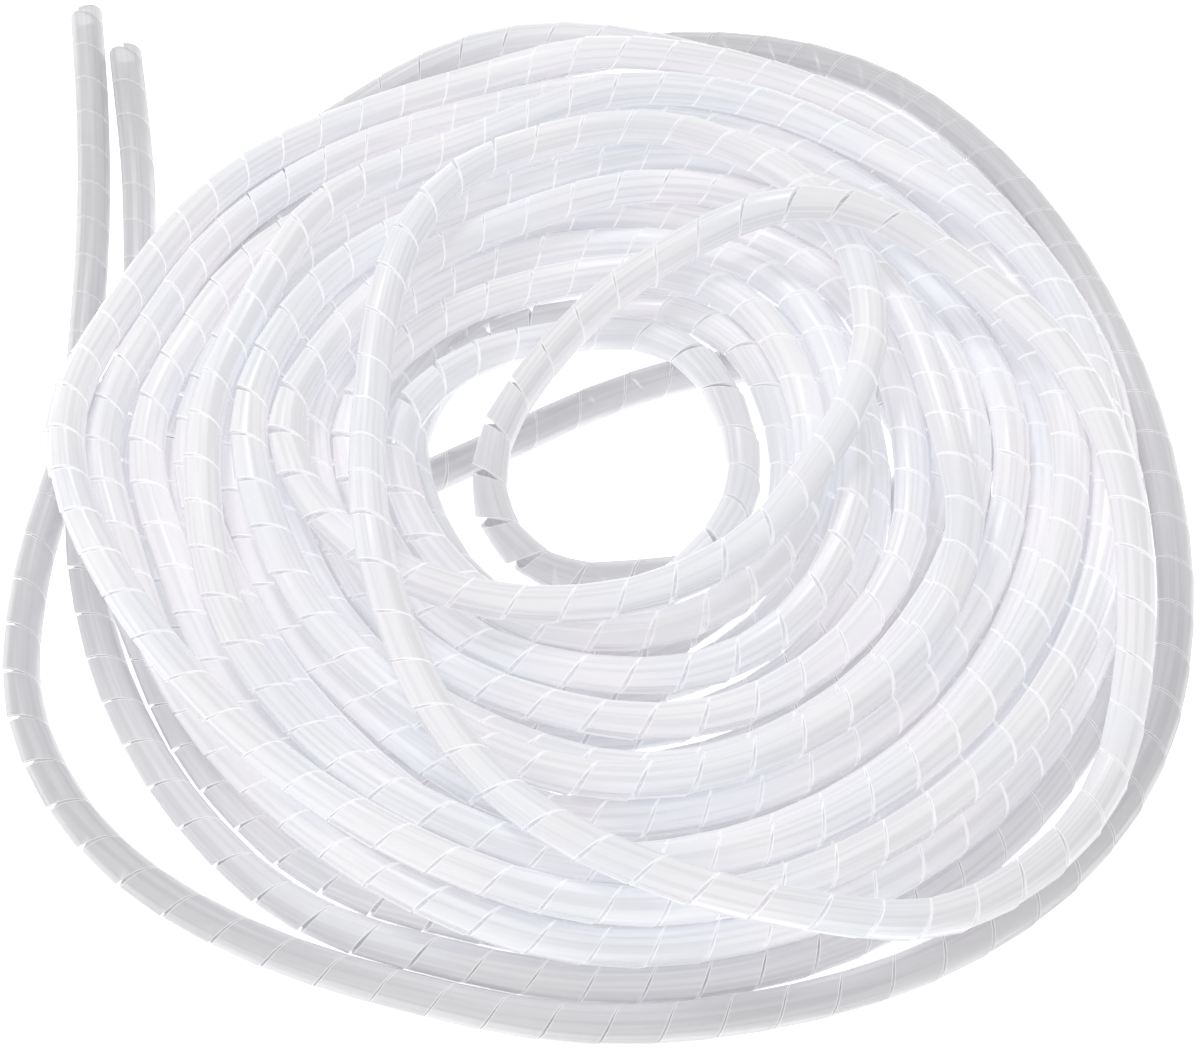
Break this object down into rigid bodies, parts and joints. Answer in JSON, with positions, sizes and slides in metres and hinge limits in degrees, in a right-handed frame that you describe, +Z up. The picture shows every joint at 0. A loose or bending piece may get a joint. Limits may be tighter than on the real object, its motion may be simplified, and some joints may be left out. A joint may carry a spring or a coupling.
{
  "type": "spiral cable wrap",
  "caption": "Loose hank of slit spiral tube in natural plastic, wound onto a bundle of leads to hold and protect them.",
  "frame": {"origin": "centre of the hank's bounding box on the floor it lies on", "axes": "+Z up from the floor; both free ends lie at -X and point to +Y"},
  "size_m": [0.2097, 0.2195, 0.0309],
  "materials": {
    "natural_polyethylene": "milky, slightly translucent natural polyethylene with a soft satin gloss"
  },
  "bodies": {
    "root": {"spiral_wrap": "natural_polyethylene"}
  },
  "joints": []
}
